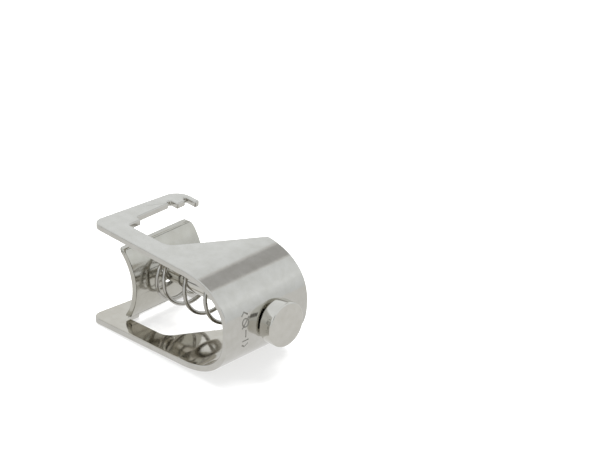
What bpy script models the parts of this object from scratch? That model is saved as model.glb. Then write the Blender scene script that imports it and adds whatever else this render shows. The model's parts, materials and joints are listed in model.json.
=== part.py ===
"""Spring-loaded shield clamp for a 10 mm busbar: bent body, sprung saddle and headed plunger.

+X runs from the open hook end to the pull button, +Z is up, and the clamp stands on its lower leg.
Everything is modelled from the outer face of the back wall (x = 0) and the plane halfway between
the legs (z = 0). One empty then stands it on z = 0 with its middle over the origin, and a second
empty carries what slides along the plunger's axis.
"""
import math

import bmesh
import bpy
from mathutils import Matrix, Vector

MM = 0.001

# Clamp body: one strip of sheet, bent round at the back
SHEET = 1.4 * MM
BODY_WIDTH = 24.0 * MM
BEND_HEIGHT = 22.8 * MM  # outside, where the legs leave the bend
BEND_DEPTH = 15.0 * MM
BEND_POWER = 2.37  # 2 would be an ellipse; more is squarer
BEND_STEPS = 28
BEND_END_MARGIN = 0.02  # angle left out at each end of the bend, where its curvature runs out
LEG_SPLAY = 0.027  # each leg leans outward by this much per unit of length
HOOK_END_X = -41.2 * MM  # outer edge of a crossbar, on the arm's side
HOOK_END_X_FREE = -38.9 * MM  # the same edge at the crossbar's free end
FREE_END_Y = 11.8 * MM
ARM_INNER_Y = -7.0 * MM
TAPER_START_X = -23.1 * MM
TAPER_END_X = -12.1 * MM
EDGE_ROUNDING = 0.3 * MM
ARM_CORNER = 2.3 * MM
FREE_CORNER = 4.0 * MM
TAPER_START_ROUNDING = 3.5 * MM
TAPER_END_ROUNDING = 1.0 * MM

# Busbar seat in each crossbar
SEAT_FLOOR_X = -36.1 * MM
SEAT_START_Y = -3.4 * MM
SEAT_LENGTH = 10.5 * MM
STEP_X = -34.8 * MM  # face between the arm and the seat
RELIEF_DEPTH = 0.6 * MM
RELIEF_WIDTH = 1.2 * MM
TOOTH_X = -34.6 * MM
TOOTH_WIDTH = 2.5 * MM
GROOVE_X = -35.6 * MM
GROOVE_WIDTH = 0.9 * MM
HOOK_TIP_X = -32.6 * MM

# Plunger: its axis sags a little towards the saddle
AXIS_Y = 2.0 * MM
AXIS_Z = -0.1 * MM
AXIS_SAG = math.radians(2.5)
HEAD_RADIUS = 5.0 * MM
HEAD_LENGTH = 3.4 * MM
HEAD_CHAMFER = 0.25 * MM
PIN_RADIUS = 1.9 * MM
PIN_END_X = -27.0 * MM
TENON_RADIUS = 1.65 * MM
TENON_BORE_RADIUS = 1.2 * MM
TENON_BORE_END_X = -28.0 * MM
TENON_CHAMFER = 0.2 * MM
FLARE_BACK_X = -31.9 * MM  # the tenon's end is spread into the saddle's countersink
FLARE_FRONT_X = -32.5 * MM
FLARE_RADIUS = 2.4 * MM
FLARE_LIP = 0.2 * MM
FLARE_MOUTH_RADIUS = 1.8 * MM
WALL_HOLE_RADIUS = 2.3 * MM
GAP = 0.3 * MM

# Saddle: a curved plate, concave towards the hook end
SADDLE_X = -32.5 * MM  # concave face, at the rivet
SADDLE_SHEET = 1.3 * MM
SADDLE_RADIUS = 11.0 * MM  # concave face
SADDLE_HALF_HEIGHT = 8.0 * MM
SADDLE_WIDTH = 20.2 * MM
SADDLE_CORNER = 1.0 * MM
SADDLE_SIDE_PLAY = 0.2 * MM  # it hangs loose on the tenon, towards the arms,
SADDLE_PITCH = math.radians(5.0)  # with its top edge forward
SADDLE_HOLE_RADIUS = 2.3 * MM
COUNTERSINK_RADIUS = 3.0 * MM
COUNTERSINK_DEPTH = 0.6 * MM
SADDLE_STEPS = 20

# Compression spring
WIRE_RADIUS = 0.45 * MM
COIL_RADIUS = 5.45 * MM
SPRING_FRONT_X = -30.0 * MM
SPRING_BACK_X = -4.1 * MM
CLOSED_PITCH = 1.05 * MM
ACTIVE_TURNS = 3.8
RAMP_TURNS = 0.35
FIRST_COIL_ANGLE = math.radians(100)
POINTS_PER_TURN = 20

ROUND_SEGMENTS = 40
OVERCUT = 1 * MM  # how far a cutter runs past what it cuts
STANDING_Z = BEND_HEIGHT / 2 + LEG_SPLAY * (-HOOK_END_X - BEND_DEPTH)
HEAD_FACE_X = GAP + HEAD_LENGTH
CENTRE_X = (HOOK_END_X + HEAD_FACE_X) / 2


def clear_scene():
    for old in list(bpy.data.objects):
        bpy.data.objects.remove(old)


def make_material(name, colour, roughness):
    material = bpy.data.materials.new(name)
    material.use_nodes = True
    shader = material.node_tree.nodes["Principled BSDF"]
    shader.inputs["Base Color"].default_value = (*colour, 1.0)
    shader.inputs["Metallic"].default_value = 1.0
    shader.inputs["Roughness"].default_value = roughness
    return material


def link(obj, parent=None, material=None):
    bpy.context.collection.objects.link(obj)
    obj.parent = parent
    if material:
        obj.data.materials.append(material)
    return obj


def make_empty(name, parent, matrix):
    empty = link(bpy.data.objects.new(name, None), parent)
    empty.matrix_basis = matrix
    return empty


def make_mesh(name, mesh_builder):
    """A mesh object from a bmesh, with its faces pointing out and its round faces smooth."""
    bmesh.ops.recalc_face_normals(mesh_builder, faces=mesh_builder.faces)
    mesh = bpy.data.meshes.new(name)
    mesh_builder.to_mesh(mesh)
    mesh_builder.free()
    mesh.shade_smooth()
    mesh.set_sharp_from_angle(angle=math.radians(30))
    return bpy.data.objects.new(name, mesh)


def prism(name, outline, direction):
    """A closed solid: a flat outline of points, extruded along a direction."""
    builder = bmesh.new()
    face = builder.faces.new([builder.verts.new(point) for point in outline])
    moved = bmesh.ops.extrude_face_region(builder, geom=[face])["geom"]
    far_side = [item for item in moved if isinstance(item, bmesh.types.BMVert)]
    bmesh.ops.translate(builder, verts=far_side, vec=direction)
    return make_mesh(name, builder)


def turned(name, profile):
    """A solid of revolution about X, from (x, radius) points that start and end on the axis."""
    builder = bmesh.new()
    points = [builder.verts.new((x, radius, 0)) for x, radius in profile]
    for start, end in zip(points, points[1:]):
        builder.edges.new((start, end))
    bmesh.ops.spin(builder, geom=builder.verts[:] + builder.edges[:], cent=(0, 0, 0), axis=(1, 0, 0),
                   angle=math.tau, steps=ROUND_SEGMENTS, use_merge=True)
    bmesh.ops.remove_doubles(builder, verts=builder.verts, dist=1e-6)
    return make_mesh(name, builder)


def rounded_outline(corners):
    """Points of a closed outline whose corners, given as (x, y, radius), are rounded by arcs."""
    points = []
    for index, (x, y, radius) in enumerate(corners):
        corner = Vector((x, y))
        before = (Vector(corners[index - 1][:2]) - corner).normalized()
        after = (Vector(corners[(index + 1) % len(corners)][:2]) - corner).normalized()
        if not radius:
            points.append(corner)
            continue
        half_angle = before.angle(after) / 2
        centre = corner + (before + after).normalized() * radius / math.sin(half_angle)
        start = corner + before * radius / math.tan(half_angle) - centre
        end = corner + after * radius / math.tan(half_angle) - centre
        steps = max(2, round(radius / MM) * 2 + 1)
        for step in range(steps + 1):
            mixed = start.lerp(end, step / steps)
            points.append(centre + mixed.normalized() * radius)
    return points


def add_boolean(obj, cutter, operation):
    cutter.hide_render = True
    cutter.display_type = "WIRE"
    modifier = obj.modifiers.new(cutter.name, "BOOLEAN")
    modifier.operation = operation
    modifier.object = cutter


def bend_profile(offset):
    """The strip's side view, from the lower leg's end round the back to the upper leg's end.

    offset is the distance inward from the outer face.
    """
    def outer(angle):
        power = 2 / BEND_POWER
        depth = math.copysign(abs(math.cos(angle)) ** power, math.cos(angle))
        height = math.copysign(abs(math.sin(angle)) ** power, math.sin(angle))
        return Vector((BEND_DEPTH * (depth - 1), BEND_HEIGHT / 2 * height))

    last_angle = math.pi / 2 - BEND_END_MARGIN
    nudge = BEND_END_MARGIN / 20
    points = []
    for step in range(BEND_STEPS + 1):
        angle = last_angle * (2 * step / BEND_STEPS - 1)
        tangent = (outer(angle + nudge) - outer(angle - nudge)).normalized()
        points.append(outer(angle) + Vector((-tangent.y, tangent.x)) * offset)
    leg_end_x = HOOK_END_X - OVERCUT
    leg_end_z = BEND_HEIGHT / 2 - offset + LEG_SPLAY * (-leg_end_x - BEND_DEPTH)
    leg_start = Vector((-BEND_DEPTH, BEND_HEIGHT / 2 - offset))
    lower = [Vector((leg_end_x, -leg_end_z)), Vector((leg_start.x, -leg_start.y))]
    upper = [leg_start, Vector((leg_end_x, leg_end_z))]
    return lower + points + upper


def body_plan():
    """The body seen from above: the full-width bend, the arm and the crossbar with its seat."""
    half = BODY_WIDTH / 2
    seat_end_y = SEAT_START_Y + SEAT_LENGTH
    tooth_end_y = seat_end_y + TOOTH_WIDTH
    groove_end_y = tooth_end_y + GROOVE_WIDTH
    relief_x = SEAT_FLOOR_X - RELIEF_DEPTH
    small = EDGE_ROUNDING
    return rounded_outline([
        (OVERCUT, -half, 0),
        (HOOK_END_X, -half, ARM_CORNER),
        (HOOK_END_X_FREE, FREE_END_Y, FREE_CORNER),
        (HOOK_TIP_X, FREE_END_Y, small),
        (HOOK_TIP_X, groove_end_y, small),
        (GROOVE_X, groove_end_y, small),
        (GROOVE_X, tooth_end_y, small),
        (TOOTH_X, tooth_end_y, small),
        (TOOTH_X, seat_end_y, small),
        (relief_x, seat_end_y, small),
        (relief_x, seat_end_y - RELIEF_WIDTH, small),
        (SEAT_FLOOR_X, seat_end_y - RELIEF_WIDTH, 0),
        (SEAT_FLOOR_X, SEAT_START_Y, small),
        (STEP_X, SEAT_START_Y, small),
        (STEP_X, ARM_INNER_Y, small),
        (TAPER_START_X, ARM_INNER_Y, TAPER_START_ROUNDING),
        (TAPER_END_X, half, TAPER_END_ROUNDING),
        (OVERCUT, half, 0),
    ])


def make_clamp_body(stand, axis, material):
    """The bent strip, cut to its plan view, with the plunger's hole in its back wall."""
    start_y = -BODY_WIDTH / 2 - OVERCUT
    side_view = bend_profile(0) + bend_profile(SHEET)[::-1]
    outline = [(point.x, start_y, point.y) for point in side_view]
    body = link(prism("clamp_body", outline, (0, -2 * start_y, 0)), stand, material)

    bottom = -STANDING_Z - OVERCUT
    plan = [(point.x, point.y, bottom) for point in body_plan()]
    cutter = link(prism("body_plan", plan, (0, 0, -2 * bottom)), stand)
    add_boolean(body, cutter, "INTERSECT")

    hole_start = -SHEET - OVERCUT
    hole = turned("wall_hole", [(hole_start, 0), (hole_start, WALL_HOLE_RADIUS),
                                (OVERCUT, WALL_HOLE_RADIUS), (OVERCUT, 0)])
    add_boolean(body, link(hole, axis), "DIFFERENCE")


def make_plunger(axis, material):
    """Head, pin and tenon turned in one piece; the tenon's hollow end is flared open."""
    lip_x = FLARE_FRONT_X - FLARE_LIP
    profile = [
        (HEAD_FACE_X, 0),
        (HEAD_FACE_X, HEAD_RADIUS - HEAD_CHAMFER),
        (HEAD_FACE_X - HEAD_CHAMFER, HEAD_RADIUS),
        (GAP + HEAD_CHAMFER, HEAD_RADIUS),
        (GAP, HEAD_RADIUS - HEAD_CHAMFER),
        (GAP, PIN_RADIUS),
        (PIN_END_X + TENON_CHAMFER, PIN_RADIUS),
        (PIN_END_X, PIN_RADIUS - TENON_CHAMFER),
        (PIN_END_X, TENON_RADIUS),
        (FLARE_BACK_X, TENON_RADIUS),
        (FLARE_FRONT_X, FLARE_RADIUS),
        (lip_x, FLARE_RADIUS - FLARE_LIP),
        (lip_x, FLARE_MOUTH_RADIUS + FLARE_LIP),
        (FLARE_FRONT_X, FLARE_MOUTH_RADIUS),
        (FLARE_BACK_X, TENON_BORE_RADIUS),
        (TENON_BORE_END_X, TENON_BORE_RADIUS),
        (TENON_BORE_END_X, 0),
    ]
    link(turned("plunger", profile), axis, material)


def make_saddle(axis, material):
    """The plate is modelled upright with its concave face at x = 0, then hung on the tenon."""
    half_angle = math.asin((SADDLE_HALF_HEIGHT + OVERCUT) / (SADDLE_RADIUS + SADDLE_SHEET))

    def arc(radius):
        turns = [half_angle * (2 * step / SADDLE_STEPS - 1) for step in range(SADDLE_STEPS + 1)]
        return [(radius * math.cos(turn) - SADDLE_RADIUS, radius * math.sin(turn)) for turn in turns]

    start_y = -SADDLE_WIDTH / 2 - OVERCUT
    side_view = arc(SADDLE_RADIUS) + arc(SADDLE_RADIUS + SADDLE_SHEET)[::-1]
    outline = [(x, start_y, z) for x, z in side_view]
    saddle = link(prism("pressure_saddle", outline, (0, -2 * start_y, 0)), axis, material)
    place = Matrix.Translation((SADDLE_X, -SADDLE_SIDE_PLAY, 0))
    saddle.matrix_basis = place @ Matrix.Rotation(-SADDLE_PITCH, 4, "Y")

    half = SADDLE_WIDTH / 2
    corners = [(-half, -SADDLE_HALF_HEIGHT), (half, -SADDLE_HALF_HEIGHT),
               (half, SADDLE_HALF_HEIGHT), (-half, SADDLE_HALF_HEIGHT)]
    front = rounded_outline([(y, z, SADDLE_CORNER) for y, z in corners])
    start_x = -SADDLE_RADIUS
    plate_face = [(start_x, point.x, point.y) for point in front]
    plate = prism("saddle_outline", plate_face, (-2 * start_x, 0, 0))
    add_boolean(saddle, link(plate, saddle), "INTERSECT")

    widening = (COUNTERSINK_RADIUS - SADDLE_HOLE_RADIUS) / COUNTERSINK_DEPTH
    hole = turned("saddle_hole", [(-OVERCUT, 0), (-OVERCUT, COUNTERSINK_RADIUS + widening * OVERCUT),
                                  (COUNTERSINK_DEPTH, SADDLE_HOLE_RADIUS),
                                  (SADDLE_SHEET + OVERCUT, SADDLE_HOLE_RADIUS),
                                  (SADDLE_SHEET + OVERCUT, 0)])
    add_boolean(saddle, link(hole, saddle), "DIFFERENCE")


def spring_points():
    """The wire's centre line: closed end turns, with the pitch opening and closing by ramps."""
    total_turns = ACTIVE_TURNS + 2
    steps = round(total_turns * POINTS_PER_TURN)

    def openness(turn):
        from_end = min(turn, total_turns - turn)
        share = min(max((from_end - 1) / RAMP_TURNS + 0.5, 0), 1)
        return share * share * (3 - 2 * share)

    open_shares = [openness(total_turns * (step + 0.5) / steps) for step in range(steps)]
    closed_length = CLOSED_PITCH * total_turns
    open_turns = sum(open_shares) * total_turns / steps
    extra_pitch = (SPRING_BACK_X - SPRING_FRONT_X - closed_length) / open_turns
    x = SPRING_FRONT_X
    points = []
    for step in range(steps + 1):
        angle = FIRST_COIL_ANGLE + math.tau * total_turns * step / steps
        points.append((x, COIL_RADIUS * math.cos(angle), COIL_RADIUS * math.sin(angle)))
        if step < steps:
            x += (CLOSED_PITCH + extra_pitch * open_shares[step]) * total_turns / steps
    return points


def make_spring(axis, material):
    curve = bpy.data.curves.new("compression_spring", "CURVE")
    curve.dimensions = "3D"
    curve.bevel_depth = WIRE_RADIUS
    curve.bevel_resolution = 1
    curve.use_fill_caps = True
    curve.render_resolution_u = 0
    points = spring_points()
    spline = curve.splines.new("POLY")
    spline.points.add(len(points) - 1)
    for place, point in zip(spline.points, points):
        place.co = (*point, 1)
    link(bpy.data.objects.new("compression_spring", curve), axis, material)


def main():
    clear_scene()
    stand = make_empty("stand", None, Matrix.Translation((-CENTRE_X, 0, STANDING_Z)))
    axis_turn = Matrix.Rotation(-AXIS_SAG, 4, "Y")
    axis = make_empty("plunger_axis", stand, Matrix.Translation((0, AXIS_Y, AXIS_Z)) @ axis_turn)

    sheet_nickel = make_material("nickel_plated_sheet", (0.66, 0.65, 0.62), 0.2)
    turned_nickel = make_material("nickel_plated_turning", (0.68, 0.67, 0.64), 0.15)
    spring_wire = make_material("spring_wire", (0.62, 0.61, 0.58), 0.18)

    make_clamp_body(stand, axis, sheet_nickel)
    make_plunger(axis, turned_nickel)
    make_saddle(axis, sheet_nickel)
    make_spring(axis, spring_wire)


main()
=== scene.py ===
"""Looks of the spring-loaded shield clamp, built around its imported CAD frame.

Every CAD node is replaced by a finer piece of the same dimensions, with rolled edges and nickel
plating. The pieces are modelled as part.py models them: from the outer face of the back wall (x = 0)
and the plane halfway between the legs (z = 0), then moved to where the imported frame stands.
"""
import json
import math

import bmesh
import bpy
from mathutils import Matrix, Vector


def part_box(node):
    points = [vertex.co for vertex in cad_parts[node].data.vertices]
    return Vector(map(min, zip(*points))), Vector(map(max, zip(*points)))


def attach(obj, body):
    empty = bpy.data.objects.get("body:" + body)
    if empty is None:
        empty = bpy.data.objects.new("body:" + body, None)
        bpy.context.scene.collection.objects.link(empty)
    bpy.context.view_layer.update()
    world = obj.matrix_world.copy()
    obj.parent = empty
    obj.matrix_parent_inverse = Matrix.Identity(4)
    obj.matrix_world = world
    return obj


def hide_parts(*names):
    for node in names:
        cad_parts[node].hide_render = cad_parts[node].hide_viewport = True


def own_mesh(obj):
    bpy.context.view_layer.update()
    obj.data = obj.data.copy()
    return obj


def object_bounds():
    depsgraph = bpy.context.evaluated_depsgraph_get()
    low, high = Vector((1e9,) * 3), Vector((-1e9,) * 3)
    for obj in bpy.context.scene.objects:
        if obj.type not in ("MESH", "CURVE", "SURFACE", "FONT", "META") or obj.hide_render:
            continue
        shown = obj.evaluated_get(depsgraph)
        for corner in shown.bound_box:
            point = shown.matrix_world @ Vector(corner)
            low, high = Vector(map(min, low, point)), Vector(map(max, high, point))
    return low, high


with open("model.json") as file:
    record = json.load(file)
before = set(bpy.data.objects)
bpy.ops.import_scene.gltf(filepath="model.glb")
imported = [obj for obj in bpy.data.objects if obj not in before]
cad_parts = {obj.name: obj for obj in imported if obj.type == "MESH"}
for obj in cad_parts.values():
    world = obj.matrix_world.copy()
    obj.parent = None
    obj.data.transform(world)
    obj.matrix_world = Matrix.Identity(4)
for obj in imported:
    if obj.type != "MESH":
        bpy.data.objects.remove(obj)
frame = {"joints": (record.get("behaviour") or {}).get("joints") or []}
cad_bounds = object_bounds()

MM = 0.001

# Clamp body: one strip of sheet, bent round at the back
SHEET = 1.4 * MM
BODY_WIDTH = 24.0 * MM
BEND_HEIGHT = 22.8 * MM
BEND_DEPTH = 15.0 * MM
BEND_POWER = 2.37  # 2 would be an ellipse; more is squarer
BEND_STEPS = 120
BEND_END_MARGIN = 0.02
LEG_SPLAY = 0.027
HOOK_END_X = -41.2 * MM
HOOK_END_X_FREE = -38.9 * MM
FREE_END_Y = 11.8 * MM
ARM_INNER_Y = -7.0 * MM
TAPER_START_X = -23.1 * MM
TAPER_END_X = -12.1 * MM
EDGE_ROUNDING = 0.36 * MM
ARM_CORNER = 2.3 * MM
FREE_CORNER = 4.0 * MM
TAPER_START_ROUNDING = 3.5 * MM
TAPER_END_ROUNDING = 1.0 * MM
SHEET_EDGE = 0.28 * MM  # how far in the sheared edges are rolled over
EDGE_SEGMENTS = 5
EDGE_ANGLE = math.radians(40)  # the least angle between faces that is rolled over

# Busbar seat in each crossbar
SEAT_FLOOR_X = -36.1 * MM
SEAT_START_Y = -3.4 * MM
SEAT_LENGTH = 10.5 * MM
STEP_X = -34.8 * MM
RELIEF_DEPTH = 0.6 * MM
RELIEF_WIDTH = 1.2 * MM
TOOTH_X = -34.6 * MM
TOOTH_WIDTH = 2.5 * MM
RELIEF_CORNER = 0.1 * MM
GROOVE_X = -35.6 * MM
GROOVE_WIDTH = 0.9 * MM
HOOK_TIP_X = -32.6 * MM

# Plunger
AXIS_Y = 2.0 * MM
HEAD_RADIUS = 5.0 * MM
HEAD_LENGTH = 3.4 * MM
HEAD_ROUNDING = 0.45 * MM
PIN_RADIUS = 1.9 * MM
PIN_END_X = -27.0 * MM
TENON_RADIUS = 1.65 * MM
TENON_BORE_RADIUS = 1.2 * MM
TENON_BORE_END_X = -28.0 * MM
FLARE_BACK_X = -31.9 * MM
FLARE_FRONT_X = -32.5 * MM
FLARE_RADIUS = 2.4 * MM
FLARE_LIP = 0.2 * MM
FLARE_MOUTH_RADIUS = 1.8 * MM
WALL_HOLE_RADIUS = 2.3 * MM
SLICE_MARGIN = 4.0 * MM  # from the wall hole's middle to where the sheet's faces are split
GAP = 0.3 * MM
TURNED_EDGE = 0.12 * MM
TURNED_SEGMENTS = 112

# Saddle
SADDLE_X = -32.5 * MM
SADDLE_SHEET = 1.3 * MM
SADDLE_RADIUS = 11.0 * MM
SADDLE_HALF_HEIGHT = 8.0 * MM
SADDLE_WIDTH = 20.2 * MM
SADDLE_CORNER = 1.0 * MM
SADDLE_SIDE_PLAY = 0.2 * MM
SADDLE_PITCH = math.radians(5.0)
SADDLE_HOLE_RADIUS = 2.3 * MM
COUNTERSINK_RADIUS = 3.0 * MM
COUNTERSINK_DEPTH = 0.6 * MM
SADDLE_STEPS = 72

# Compression spring
WIRE_RADIUS = 0.45 * MM
COIL_RADIUS = 5.45 * MM
SPRING_FRONT_X = -30.0 * MM
SPRING_BACK_X = -4.1 * MM
CLOSED_PITCH = 1.05 * MM
ACTIVE_TURNS = 3.8
RAMP_TURNS = 0.35
FIRST_COIL_ANGLE = math.radians(100)
POINTS_PER_TURN = 44
WIRE_SIDES = 16

# Generic size mark, engraved beside the pull button
MARK_Y = -6.5 * MM
MARK_Z = 0.4 * MM
MARK_STROKE = 0.18 * MM
MARK_LIFT = 0.07 * MM  # how far the engraving tool's middle stays outside the wall
MARK_RING_RADIUS = 0.9
MARK_RING_HEIGHT = 1.9
MARK_RING_STEPS = 24
MARK_STEPS_PER_LINE = 6
MARK_TOOL_SIDES = 12

OVERCUT = 1 * MM
MERGE_DISTANCE = 0.001 * MM
SHARP_ANGLE = math.radians(35)
ARC_STEPS_PER_MM = 5
LEAST_ARC_STEPS = 6

# Plating: bright and dull tints, least and greatest roughness, stretch of the grain, relief
FINISHES = {
    "sheet_nickel": ((0.62, 0.608, 0.57), (0.57, 0.557, 0.515), (0.08, 0.15), (1, 1, 1), 0.3),
    # The inside faces' plating is painted darker and browner than the outside's, as painted shade of
    # the clamp's inside; its lower roughness is its own.
    "inner_nickel_painted_shade": ((0.55, 0.525, 0.465), (0.51, 0.48, 0.42), (0.05, 0.09), (1, 1, 1), 0.2),
    "saddle_nickel": ((0.55, 0.537, 0.485), (0.50, 0.485, 0.43), (0.11, 0.18), (1, 0.3, 1), 0.3),
    "turned_nickel": ((0.65, 0.635, 0.59), (0.60, 0.585, 0.535), (0.06, 0.12), (0.3, 1, 1), 0.2),
    # The spring wire's plating is painted darker than the sheet's, as painted shade of the wire
    # inside the clamp.
    "wire_nickel_painted_shade": ((0.52, 0.505, 0.47), (0.45, 0.435, 0.40), (0.06, 0.12), (1, 1, 1), 0.3),
    "mark_nickel": ((0.34, 0.33, 0.30), (0.26, 0.25, 0.225), (0.3, 0.4), (1, 1, 1), 0.3),
}
# Noise scales are per metre
CLOUD_SCALE = 450
PATCH_SCALE = 800
GRAIN_SCALE = 2600
WAVINESS_SCALE = 500
WAVINESS_SHARE = 3.0  # height of the waviness, when the grain's is 1
RELIEF_HEIGHT = 0.01 * MM
NOISE_RANGE = (0.3, 0.7)  # where most of a noise texture's values lie
TINT_RANGE = (0.3, 0.65)
MATTE_ROUGHNESS = 0.8

# Camera and studio
CAMERA_PLACE = (0.52106, -0.52530, 0.42430)
CAMERA_TURN_DEG = (61.834, -1.729, 44.170)
CAMERA_LENS = 240
CAMERA_SENSOR = 36
CAMERA_NEAR = 0.01
WORLD_TINT = (0.97, 1.0, 1.03)
# Brightness of the studio's walls and ceiling, by the sine of the elevation above the horizon
WORLD_BRIGHTNESS = [(0, 0.80), (0.17, 0.84), (0.34, 0.92), (0.48, 1.02),
                    (0.62, 0.96), (0.78, 0.91), (1, 0.88)]
BRIGHTEST = 1.2
FLOOR_SIZE = 3
PALE_FLOOR = (0.42, 0.415, 0.405)
PALE_FLOOR_GLOW = 0.60
PALE_FLOOR_DEPTH = 0.01 * MM
REFLECTED_FLOOR_GLOW = 0.80
REFLECTED_FLOOR_DEPTH = 0.02 * MM
SOFTBOX_DIRECTION = (-0.2, 0.3, 1.0)
SOFTBOX_DISTANCE = 0.9
SOFTBOX_SIZE = (0.9, 0.7)
SOFTBOX_WATTS = 22.0
# Cards that only show in reflections: name, direction, distance, width and height, glow
FLAGS = [
    ("bend_flag", (-0.13, 0.64, 0.74), 0.6, (0.21, 0.16), 0.50),
    ("bend_flag_edge", (-0.13, 0.64, 0.74), 0.61, (0.27, 0.22), 0.72),
    ("side_flag", (-0.45, -0.80, 0.25), 0.7, (0.6, 0.18), 0.30),
    ("camera_flag", (0.79, -0.42, 0.42), 0.7, (0.26, 0.30), 0.20),
]


# ---------------------------------------------------------------- mesh building

def rounded_path(corners, closed=True):
    """Points of an outline whose corners, given as (x, y, radius), are rounded by arcs."""
    points = []
    for index, (x, y, radius) in enumerate(corners):
        corner = Vector((x, y))
        is_end = not closed and index in (0, len(corners) - 1)
        if not radius or is_end:
            points.append(corner)
            continue
        before = (Vector(corners[index - 1][:2]) - corner).normalized()
        after = (Vector(corners[(index + 1) % len(corners)][:2]) - corner).normalized()
        half_angle = before.angle(after) / 2
        centre = corner + (before + after).normalized() * radius / math.sin(half_angle)
        start = corner + before * radius / math.tan(half_angle) - centre
        end = corner + after * radius / math.tan(half_angle) - centre
        steps = max(LEAST_ARC_STEPS, round(radius / MM * ARC_STEPS_PER_MM))
        for step in range(steps + 1):
            mixed = start.lerp(end, step / steps)
            points.append(centre + mixed.normalized() * radius)
    return points


def finish_mesh(name, builder):
    """An object from a bmesh, closed and facing outward, smooth across shallow angles."""
    bmesh.ops.recalc_face_normals(builder, faces=builder.faces)
    mesh = bpy.data.meshes.new(name)
    builder.to_mesh(mesh)
    builder.free()
    mesh.shade_smooth()
    mesh.set_sharp_from_angle(angle=SHARP_ANGLE)
    obj = bpy.data.objects.new(name, mesh)
    bpy.context.scene.collection.objects.link(obj)
    return obj


def prism(name, outline, direction):
    builder = bmesh.new()
    face = builder.faces.new([builder.verts.new(point) for point in outline])
    moved = bmesh.ops.extrude_face_region(builder, geom=[face])["geom"]
    far_side = [item for item in moved if isinstance(item, bmesh.types.BMVert)]
    bmesh.ops.translate(builder, verts=far_side, vec=direction)
    return finish_mesh(name, builder)


def turned(name, profile):
    """A solid of revolution about X, from (x, radius) points that start and end on the axis."""
    builder = bmesh.new()
    points = [builder.verts.new((x, radius, 0)) for x, radius in profile]
    for start, end in zip(points, points[1:]):
        builder.edges.new((start, end))
    bmesh.ops.spin(builder, geom=builder.verts[:] + builder.edges[:], cent=(0, 0, 0),
                   axis=(1, 0, 0), angle=math.tau, steps=TURNED_SEGMENTS, use_merge=True)
    bmesh.ops.remove_doubles(builder, verts=builder.verts, dist=MERGE_DISTANCE)
    return finish_mesh(name, builder)


def tube(name, points, radius, closed=False, sides=WIRE_SIDES):
    """A round wire along points, none of whose stretches runs along X."""
    builder = bmesh.new()
    points = [Vector(point) for point in points]
    rings = []
    for index, point in enumerate(points):
        ahead = points[(index + 1) % len(points)] if closed or index + 1 < len(points) else point
        behind = points[index - 1] if closed or index else point
        along = (ahead - behind).normalized()
        across = along.cross(Vector((1, 0, 0))).normalized()
        outward = across.cross(along)
        ring = []
        for side in range(sides):
            turn = math.tau * side / sides
            spoke = across * math.cos(turn) + outward * math.sin(turn)
            ring.append(builder.verts.new(point + spoke * radius))
        rings.append(ring)
    pairs = list(zip(rings, rings[1:]))
    if closed:
        pairs.append((rings[-1], rings[0]))
    else:
        builder.faces.new(rings[0])
        builder.faces.new(rings[-1])
    for first, second in pairs:
        for side in range(sides):
            after = (side + 1) % sides
            builder.faces.new((first[side], first[after], second[after], second[side]))
    return finish_mesh(name, builder)


def slice_across(obj, places):
    """Splits long faces at places along Y, so that a hole only disturbs the shading beside it."""
    builder = bmesh.new()
    builder.from_mesh(obj.data)
    for y in places:
        everything = builder.verts[:] + builder.edges[:] + builder.faces[:]
        bmesh.ops.bisect_plane(builder, geom=everything, plane_co=(0, y, 0), plane_no=(0, 1, 0))
    builder.to_mesh(obj.data)
    builder.free()


def add_boolean(obj, cutter, operation):
    modifier = obj.modifiers.new(cutter.name, "BOOLEAN")
    modifier.operation = operation
    modifier.solver = "EXACT"
    modifier.material_mode = "TRANSFER"
    modifier.object = cutter
    cutter.hide_render = True


def add_rolled_edge(obj, width):
    modifier = obj.modifiers.new("rolled_edge", "BEVEL")
    modifier.width = width
    modifier.segments = EDGE_SEGMENTS
    modifier.limit_method = "ANGLE"
    modifier.angle_limit = EDGE_ANGLE
    modifier.use_clamp_overlap = False


def keep_result(obj):
    """Makes the result of obj's modifiers its mesh."""
    evaluated = obj.evaluated_get(bpy.context.evaluated_depsgraph_get())
    mesh = bpy.data.meshes.new_from_object(evaluated)
    obj.modifiers.clear()
    obj.data = mesh


def settle(obj, place):
    """Fixes obj's mesh and shading, and moves it to its place in the frame."""
    cutters = [modifier.object for modifier in obj.modifiers if modifier.type == "BOOLEAN"]
    keep_result(obj)
    obj.data.set_sharp_from_angle(angle=SHARP_ANGLE)
    weighted = obj.modifiers.new("weighted_normals", "WEIGHTED_NORMAL")
    weighted.keep_sharp = True
    keep_result(obj)
    obj.data.transform(place)
    for cutter in cutters:
        bpy.data.objects.remove(cutter)
    return obj


# ---------------------------------------------------------------- shapes

def bend_profile(offset):
    """The strip's side view, from the lower leg's end round the back to the upper leg's end."""
    def outer(angle):
        power = 2 / BEND_POWER
        depth = math.copysign(abs(math.cos(angle)) ** power, math.cos(angle))
        height = math.copysign(abs(math.sin(angle)) ** power, math.sin(angle))
        return Vector((BEND_DEPTH * (depth - 1), BEND_HEIGHT / 2 * height))

    last_angle = math.pi / 2 - BEND_END_MARGIN
    nudge = BEND_END_MARGIN / 20
    points = []
    for step in range(BEND_STEPS + 1):
        angle = last_angle * (2 * step / BEND_STEPS - 1)
        tangent = (outer(angle + nudge) - outer(angle - nudge)).normalized()
        points.append(outer(angle) + Vector((-tangent.y, tangent.x)) * offset)
    leg_end_x = HOOK_END_X - OVERCUT
    leg_end_z = BEND_HEIGHT / 2 - offset + LEG_SPLAY * (-leg_end_x - BEND_DEPTH)
    leg_start = Vector((-BEND_DEPTH, BEND_HEIGHT / 2 - offset))
    lower = [Vector((leg_end_x, -leg_end_z)), Vector((leg_start.x, -leg_start.y))]
    upper = [leg_start, Vector((leg_end_x, leg_end_z))]
    return lower + points + upper


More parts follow.
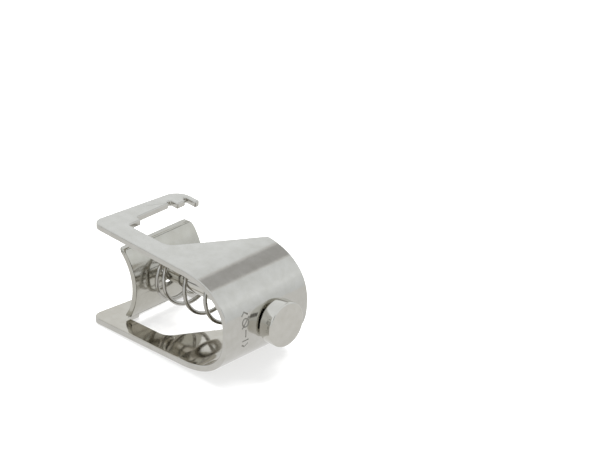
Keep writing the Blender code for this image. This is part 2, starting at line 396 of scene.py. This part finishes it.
def body_plan():
    """The body seen from above: the full-width bend, the arm and the crossbar with its seat."""
    half = BODY_WIDTH / 2
    seat_end_y = SEAT_START_Y + SEAT_LENGTH
    tooth_end_y = seat_end_y + TOOTH_WIDTH
    groove_end_y = tooth_end_y + GROOVE_WIDTH
    relief_x = SEAT_FLOOR_X - RELIEF_DEPTH
    small = EDGE_ROUNDING
    return rounded_path([
        (OVERCUT, -half, 0),
        (HOOK_END_X, -half, ARM_CORNER),
        (HOOK_END_X_FREE, FREE_END_Y, FREE_CORNER),
        (HOOK_TIP_X, FREE_END_Y, small),
        (HOOK_TIP_X, groove_end_y, small),
        (GROOVE_X, groove_end_y, small),
        (GROOVE_X, tooth_end_y, small),
        (TOOTH_X, tooth_end_y, small),
        (TOOTH_X, seat_end_y, small),
        (relief_x, seat_end_y, small),
        (relief_x, seat_end_y - RELIEF_WIDTH, small),
        (SEAT_FLOOR_X, seat_end_y - RELIEF_WIDTH, RELIEF_CORNER),
        (SEAT_FLOOR_X, SEAT_START_Y, small),
        (STEP_X, SEAT_START_Y, small),
        (STEP_X, ARM_INNER_Y, small),
        (TAPER_START_X, ARM_INNER_Y, TAPER_START_ROUNDING),
        (TAPER_END_X, half, TAPER_END_ROUNDING),
        (OVERCUT, half, 0),
    ])


def wall_point(y, z):
    """The point of the back wall's outer face at (y, z)."""
    height_share = abs(z) / (BEND_HEIGHT / 2)
    depth = (1 - height_share ** BEND_POWER) ** (1 / BEND_POWER)
    return Vector((BEND_DEPTH * (depth - 1) + MARK_LIFT, y, z))


def mark_strokes():
    """A generic mark, a diameter sign between arrows: strokes in millimetres, as (points, closed)."""
    ring = []
    for step in range(MARK_RING_STEPS):
        turn = math.tau * step / MARK_RING_STEPS
        ring.append((MARK_RING_RADIUS * math.cos(turn),
                     MARK_RING_HEIGHT + MARK_RING_RADIUS * math.sin(turn)))
    return [
        ([(-0.9, 3.5), (0.0, 4.2), (0.9, 3.5)], False),
        (ring, True),
        ([(-1.1, 0.8), (1.1, 3.0)], False),
        ([(0.0, 0.3), (0.0, -1.5)], False),
        ([(-0.9, -2.3), (0.9, -2.3)], False),
        ([(-0.9, -3.2), (0.0, -3.9), (0.9, -3.2)], False),
    ]


def engrave_mark(body, material):
    for number, (stroke, closed) in enumerate(mark_strokes()):
        fine = []
        for start, end in zip(stroke, stroke[1:]):
            for step in range(MARK_STEPS_PER_LINE):
                fine.append(Vector(start).lerp(Vector(end), step / MARK_STEPS_PER_LINE))
        fine.append(Vector(stroke[-1]))
        points = [wall_point(MARK_Y + y * MM, MARK_Z + z * MM) for y, z in fine]
        tool = tube(f"mark_tool_{number}", points, MARK_STROKE, closed, MARK_TOOL_SIDES)
        tool.data.materials.append(material)
        add_boolean(body, tool, "DIFFERENCE")


def is_inside(face):
    """Whether a face of the bent strip looks into the clamp, where the plating is painted darker as
    shade.
    """
    middle = Vector((max(face.center.x + BEND_DEPTH, 0), 0, face.center.z))
    return face.normal.dot(middle) < 0 and abs(face.normal.y) < 0.5


def make_body(stand, axis, material, painted_shade_material, mark_material):
    start_y = -BODY_WIDTH / 2 - OVERCUT
    side_view = bend_profile(0) + bend_profile(SHEET)[::-1]
    body = prism("clamp_body_sheet", [(point.x, start_y, point.y) for point in side_view],
                 (0, -2 * start_y, 0))
    body.data.materials.append(material)
    body.data.materials.append(painted_shade_material)
    # Faces that look into the clamp get the darker plating, which is painted shade.
    for face in body.data.polygons:
        face.material_index = int(is_inside(face))

    slice_across(body, [AXIS_Y - SLICE_MARGIN, AXIS_Y + SLICE_MARGIN])

    bottom = -BEND_HEIGHT
    plan = prism("body_plan", [(point.x, point.y, bottom) for point in body_plan()],
                 (0, 0, -2 * bottom))
    plan.data.materials.append(material)
    add_boolean(body, plan, "INTERSECT")

    hole_start = -SHEET - OVERCUT
    hole = turned("wall_hole", [(hole_start, 0), (hole_start, WALL_HOLE_RADIUS),
                                (OVERCUT, WALL_HOLE_RADIUS), (OVERCUT, 0)])
    hole.data.transform(stand.inverted() @ axis)
    hole.data.materials.append(material)
    add_boolean(body, hole, "DIFFERENCE")
    add_rolled_edge(body, SHEET_EDGE)
    engrave_mark(body, mark_material)
    return settle(body, stand)


def make_plunger(axis, material):
    lip_x = FLARE_FRONT_X - FLARE_LIP
    face_x = GAP + HEAD_LENGTH
    profile = rounded_path([
        (face_x, 0, 0),
        (face_x, HEAD_RADIUS, HEAD_ROUNDING),
        (GAP, HEAD_RADIUS, HEAD_ROUNDING),
        (GAP, PIN_RADIUS, TURNED_EDGE),
        (PIN_END_X, PIN_RADIUS, 2 * TURNED_EDGE),
        (PIN_END_X, TENON_RADIUS, 0),
        (FLARE_BACK_X, TENON_RADIUS, TURNED_EDGE),
        (FLARE_FRONT_X, FLARE_RADIUS, TURNED_EDGE),
        (lip_x, FLARE_RADIUS - FLARE_LIP, TURNED_EDGE),
        (lip_x, FLARE_MOUTH_RADIUS + FLARE_LIP / 2, TURNED_EDGE),
        (FLARE_BACK_X, TENON_BORE_RADIUS, TURNED_EDGE),
        (TENON_BORE_END_X, TENON_BORE_RADIUS, TURNED_EDGE),
        (TENON_BORE_END_X, 0, 0),
    ], closed=False)
    plunger = turned("plunger_turning", profile)
    plunger.data.materials.append(material)
    return settle(plunger, axis)


def make_saddle(axis, material):
    half_angle = math.asin((SADDLE_HALF_HEIGHT + OVERCUT) / (SADDLE_RADIUS + SADDLE_SHEET))

    def arc(radius):
        turns = [half_angle * (2 * step / SADDLE_STEPS - 1) for step in range(SADDLE_STEPS + 1)]
        return [(radius * math.cos(turn) - SADDLE_RADIUS, radius * math.sin(turn)) for turn in turns]

    start_y = -SADDLE_WIDTH / 2 - OVERCUT
    side_view = arc(SADDLE_RADIUS) + arc(SADDLE_RADIUS + SADDLE_SHEET)[::-1]
    saddle = prism("saddle_plate", [(x, start_y, z) for x, z in side_view], (0, -2 * start_y, 0))
    saddle.data.materials.append(material)

    half = SADDLE_WIDTH / 2
    corners = [(-half, -SADDLE_HALF_HEIGHT), (half, -SADDLE_HALF_HEIGHT),
               (half, SADDLE_HALF_HEIGHT), (-half, SADDLE_HALF_HEIGHT)]
    front = rounded_path([(y, z, SADDLE_CORNER) for y, z in corners])
    start_x = -SADDLE_RADIUS
    plate = prism("saddle_outline", [(start_x, point.x, point.y) for point in front],
                  (-2 * start_x, 0, 0))
    plate.data.materials.append(material)
    add_boolean(saddle, plate, "INTERSECT")

    widening = (COUNTERSINK_RADIUS - SADDLE_HOLE_RADIUS) / COUNTERSINK_DEPTH
    hole = turned("saddle_hole", [(-OVERCUT, 0), (-OVERCUT, COUNTERSINK_RADIUS + widening * OVERCUT),
                                  (COUNTERSINK_DEPTH, SADDLE_HOLE_RADIUS),
                                  (SADDLE_SHEET + OVERCUT, SADDLE_HOLE_RADIUS),
                                  (SADDLE_SHEET + OVERCUT, 0)])
    hole.data.materials.append(material)
    add_boolean(saddle, hole, "DIFFERENCE")
    add_rolled_edge(saddle, SHEET_EDGE)
    place = Matrix.Translation((SADDLE_X, -SADDLE_SIDE_PLAY, 0))
    return settle(saddle, axis @ place @ Matrix.Rotation(-SADDLE_PITCH, 4, "Y"))


def spring_points():
    """The wire's centre line: closed end turns, with the pitch opening and closing by ramps."""
    total_turns = ACTIVE_TURNS + 2
    steps = round(total_turns * POINTS_PER_TURN)

    def openness(turn):
        from_end = min(turn, total_turns - turn)
        share = min(max((from_end - 1) / RAMP_TURNS + 0.5, 0), 1)
        return share * share * (3 - 2 * share)

    open_shares = [openness(total_turns * (step + 0.5) / steps) for step in range(steps)]
    closed_length = CLOSED_PITCH * total_turns
    open_turns = sum(open_shares) * total_turns / steps
    extra_pitch = (SPRING_BACK_X - SPRING_FRONT_X - closed_length) / open_turns
    x = SPRING_FRONT_X
    points = []
    for step in range(steps + 1):
        angle = FIRST_COIL_ANGLE + math.tau * total_turns * step / steps
        points.append((x, COIL_RADIUS * math.cos(angle), COIL_RADIUS * math.sin(angle)))
        if step < steps:
            x += (CLOSED_PITCH + extra_pitch * open_shares[step]) * total_turns / steps
    return points


def make_spring(axis, material):
    spring = tube("spring_coil", spring_points(), WIRE_RADIUS)
    spring.data.materials.append(material)
    return settle(spring, axis)


# ---------------------------------------------------------------- materials

def add_node(material, kind, **settings):
    node = material.node_tree.nodes.new(kind)
    for key, value in settings.items():
        setattr(node, key, value)
    return node


def noise(material, coordinates, scale, detail, stretch=(1, 1, 1)):
    """A noise texture in object space; scale is per metre, before stretch."""
    links = material.node_tree.links
    mapping = add_node(material, "ShaderNodeMapping")
    mapping.inputs["Scale"].default_value = stretch
    links.new(coordinates, mapping.inputs["Vector"])
    texture = add_node(material, "ShaderNodeTexNoise")
    texture.inputs["Scale"].default_value = scale
    texture.inputs["Detail"].default_value = detail
    links.new(mapping.outputs["Vector"], texture.inputs["Vector"])
    return texture.outputs["Fac"]


def ranged(material, value, low, high):
    """A noise value, spread from its usual range over low to high."""
    node = add_node(material, "ShaderNodeMapRange")
    node.inputs["From Min"].default_value = NOISE_RANGE[0]
    node.inputs["From Max"].default_value = NOISE_RANGE[1]
    node.inputs["To Min"].default_value = low
    node.inputs["To Max"].default_value = high
    material.node_tree.links.new(value, node.inputs["Value"])
    return node.outputs["Result"]


def nickel(name, bright, dull, roughness, grain_stretch, bump):
    """Nickel plating: cloudy tint, patchy gloss, and a fine tumbled grain over a faint waviness."""
    material = bpy.data.materials.new(name)
    material.use_nodes = True
    links = material.node_tree.links
    shader = material.node_tree.nodes["Principled BSDF"]
    shader.inputs["Metallic"].default_value = 1.0
    coordinates = add_node(material, "ShaderNodeTexCoord").outputs["Object"]

    clouds = noise(material, coordinates, CLOUD_SCALE, 5)
    tint = add_node(material, "ShaderNodeValToRGB")
    tint.color_ramp.elements[0].position = TINT_RANGE[0]
    tint.color_ramp.elements[0].color = (*dull, 1)
    tint.color_ramp.elements[1].position = TINT_RANGE[1]
    tint.color_ramp.elements[1].color = (*bright, 1)
    links.new(clouds, tint.inputs["Fac"])
    links.new(tint.outputs["Color"], shader.inputs["Base Color"])

    patches = noise(material, coordinates, PATCH_SCALE, 5)
    links.new(ranged(material, patches, *roughness), shader.inputs["Roughness"])

    grain = noise(material, coordinates, GRAIN_SCALE, 3, grain_stretch)
    waviness = noise(material, coordinates, WAVINESS_SCALE, 2)
    height = add_node(material, "ShaderNodeMath", operation="MULTIPLY_ADD")
    links.new(waviness, height.inputs[0])
    height.inputs[1].default_value = WAVINESS_SHARE
    links.new(grain, height.inputs[2])
    relief = add_node(material, "ShaderNodeBump")
    relief.inputs["Strength"].default_value = bump
    relief.inputs["Distance"].default_value = RELIEF_HEIGHT
    links.new(height.outputs["Value"], relief.inputs["Height"])
    links.new(relief.outputs["Normal"], shader.inputs["Normal"])
    return material


def matte(name, colour, glow):
    """A plain surface of the studio; glow is the light that it gives off by itself."""
    material = bpy.data.materials.new(name)
    material.use_nodes = True
    shader = material.node_tree.nodes["Principled BSDF"]
    shader.inputs["Base Color"].default_value = (*colour, 1)
    shader.inputs["Roughness"].default_value = MATTE_ROUGHNESS
    shader.inputs["Specular IOR Level"].default_value = 0.0
    shader.inputs["Emission Color"].default_value = (1, 1, 1, 1)
    shader.inputs["Emission Strength"].default_value = glow
    return material


# ---------------------------------------------------------------- studio

def make_camera():
    camera_data = bpy.data.cameras.new("camera")
    camera_data.lens = CAMERA_LENS
    camera_data.sensor_width = CAMERA_SENSOR
    camera_data.clip_start = CAMERA_NEAR
    camera = bpy.data.objects.new("camera", camera_data)
    camera.location = CAMERA_PLACE
    camera.rotation_euler = [math.radians(angle) for angle in CAMERA_TURN_DEG]
    bpy.context.scene.collection.objects.link(camera)
    bpy.context.scene.camera = camera


def facing(direction, distance):
    """The placement of a flat panel that faces the object from a direction."""
    out = Vector(direction).normalized()
    return Matrix.Translation(out * distance) @ out.to_track_quat("Z", "Y").to_matrix().to_4x4()


def make_softbox():
    """A soft light from above, which only brightens the pale floor."""
    light_data = bpy.data.lights.new("top_softbox", "AREA")
    light_data.shape = "RECTANGLE"
    light_data.size, light_data.size_y = SOFTBOX_SIZE
    light_data.energy = SOFTBOX_WATTS
    light = bpy.data.objects.new("top_softbox", light_data)
    light.matrix_world = facing(SOFTBOX_DIRECTION, SOFTBOX_DISTANCE)
    light.visible_camera = False
    light.visible_glossy = False
    bpy.context.scene.collection.objects.link(light)


def make_flag(name, direction, distance, size, glow):
    """A dark card that only shows in reflections, as a photographer's flag does."""
    builder = bmesh.new()
    bmesh.ops.create_grid(builder, x_segments=1, y_segments=1, size=0.5)
    card = finish_mesh(name, builder)
    card.matrix_world = facing(direction, distance) @ Matrix.Diagonal((*size, 1, 1))
    card.data.materials.append(matte(name, (0, 0, 0), glow))
    card.visible_camera = False
    card.visible_diffuse = False
    card.visible_shadow = False


def make_floor(name, colour, depth, glow):
    builder = bmesh.new()
    bmesh.ops.create_grid(builder, x_segments=1, y_segments=1, size=FLOOR_SIZE)
    floor = finish_mesh(name, builder)
    floor.location.z = cad_bounds[0][2] - depth
    floor.data.materials.append(matte(name, colour, glow))
    return floor


def make_floors():
    """The pale floor that is seen, and a greyer one under it that only the plating reflects."""
    seen = make_floor("pale_floor", PALE_FLOOR, PALE_FLOOR_DEPTH, PALE_FLOOR_GLOW)
    seen.visible_glossy = False
    seen.visible_diffuse = False
    seen.visible_shadow = False
    reflected = make_floor("reflected_floor", (0, 0, 0), REFLECTED_FLOOR_DEPTH, REFLECTED_FLOOR_GLOW)
    reflected.visible_camera = False
    reflected.visible_diffuse = False


def make_world():
    world = bpy.data.worlds.new("studio")
    world.use_nodes = True
    nodes, links = world.node_tree.nodes, world.node_tree.links
    direction = nodes.new("ShaderNodeTexCoord").outputs["Generated"]
    split = nodes.new("ShaderNodeSeparateXYZ")
    links.new(direction, split.inputs["Vector"])
    ramp = nodes.new("ShaderNodeValToRGB")
    ramp.color_ramp.interpolation = "EASE"
    stops = ramp.color_ramp.elements
    for position, _ in WORLD_BRIGHTNESS[1:-1]:
        stops.new(position)
    for stop, (_, brightness) in zip(stops, WORLD_BRIGHTNESS):
        stop.color = [brightness / BRIGHTEST * share for share in WORLD_TINT] + [1]
    links.new(split.outputs["Z"], ramp.inputs["Fac"])
    background = nodes["Background"]
    links.new(ramp.outputs["Color"], background.inputs["Color"])
    background.inputs["Strength"].default_value = BRIGHTEST
    bpy.context.scene.world = world


def make_studio():
    make_world()
    make_floors()
    make_camera()
    bpy.context.scene.view_settings.view_transform = "Standard"
    make_softbox()
    for flag in FLAGS:
        make_flag(*flag)


# ---------------------------------------------------------------- assembly

def find_joint(name):
    return next(joint for joint in frame["joints"] if joint["name"] == name)


def assign(piece, body, node):
    """Gives a piece its CAD body and hides the node that it replaces."""
    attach(piece, body)
    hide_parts(node)


def main():
    body_low, body_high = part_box("clamp_body")
    stand = Matrix.Translation((body_high.x, 0, (body_low.z + body_high.z) / 2))
    slide = find_joint("saddle_slide")
    direction = Vector(slide["axis"])
    axis = Matrix.Translation(find_joint("plunger_turn")["pos_m"])
    axis = axis @ Matrix.Rotation(-math.atan2(direction.z, direction.x), 4, "Y")

    plating = {name: nickel(name, *finish) for name, finish in FINISHES.items()}
    body = make_body(stand, axis, plating["sheet_nickel"], plating["inner_nickel_painted_shade"],
                     plating["mark_nickel"])
    assign(body, "body", "clamp_body")
    plunger = make_plunger(axis, plating["turned_nickel"])
    assign(plunger, "plunger", "plunger")
    saddle = make_saddle(axis, plating["saddle_nickel"])
    assign(saddle, "saddle", "pressure_saddle")
    # The spring gets the darker wire plating, which is painted shade.
    spring = make_spring(axis, plating["wire_nickel_painted_shade"])
    assign(spring, "body", "compression_spring")

    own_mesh(spring)

    make_studio()


main()
